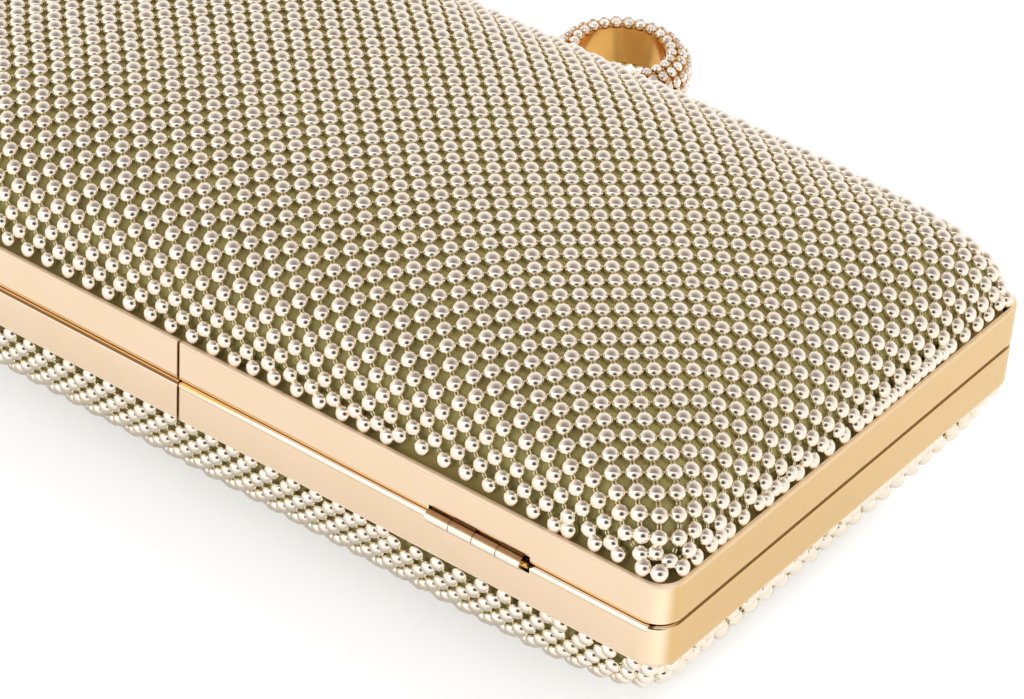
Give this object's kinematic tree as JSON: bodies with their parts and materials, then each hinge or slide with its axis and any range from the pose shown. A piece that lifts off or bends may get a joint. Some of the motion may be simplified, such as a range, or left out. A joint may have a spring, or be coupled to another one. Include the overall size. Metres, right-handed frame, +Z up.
{
  "type": "minaudiere",
  "caption": "Hard box clutch with crowned beaded halves in gold frame bands, hinged along its long side, with a stone-set finger ring opposite the hinges.",
  "frame": {"origin": "middle of the flat spot under the lower half, on the surface that the box rests on", "axes": "+X along the hinge, +Y from the hinge side to the clasp side with the finger ring, +Z up"},
  "size_m": [0.2, 0.1405, 0.0642],
  "materials": {
    "gold_frame": "pale polished gold plating",
    "gold_hinge": "polished gold plating",
    "dark_gold": "deep polished gold",
    "beaded_cloth": "silver metal beads set in olive gold cloth",
    "foam": "thin soft foam",
    "shell_board": "moulded hard shell",
    "lining_satin": "satin on card",
    "plate_steel": "plain",
    "magnet": "nickel plated",
    "clear_stone": "clear faceted"
  },
  "bodies": {
    "base": {"lower_frame": "gold_frame", "lower_shell": "shell_board", "lower_padding": "foam", "lower_cover": "beaded_cloth", "lower_lining": "lining_satin", "right_hinge_lower_leaf": "gold_hinge", "left_hinge_lower_leaf": "gold_hinge", "right_hinge_pin": "dark_gold", "left_hinge_pin": "dark_gold", "lower_leaf_rivets": "gold_hinge", "lower_splice_plate": "plate_steel", "lower_splice_rivets": "gold_hinge", "lower_magnets": "magnet"},
    "lid": {"upper_frame": "gold_frame", "upper_shell": "shell_board", "upper_padding": "foam", "upper_cover": "beaded_cloth", "upper_lining": "lining_satin", "slip_pocket": "lining_satin", "right_hinge_upper_leaf": "gold_hinge", "left_hinge_upper_leaf": "gold_hinge", "upper_leaf_rivets": "gold_hinge", "upper_splice_plate": "plate_steel", "upper_splice_rivets": "gold_hinge", "upper_magnets": "magnet", "ring_band": "dark_gold", "ring_stones": "clear_stone", "ring_post": "gold_frame", "ring_rivets": "gold_hinge"}
  },
  "joints": [
    {"name": "lid_hinge", "type": "hinge", "parent": "base", "child": "lid", "pos_m": [0, -0.05375, 0.03185], "axis": [1, 0, 0], "range_deg": [0, 110]}
  ]
}
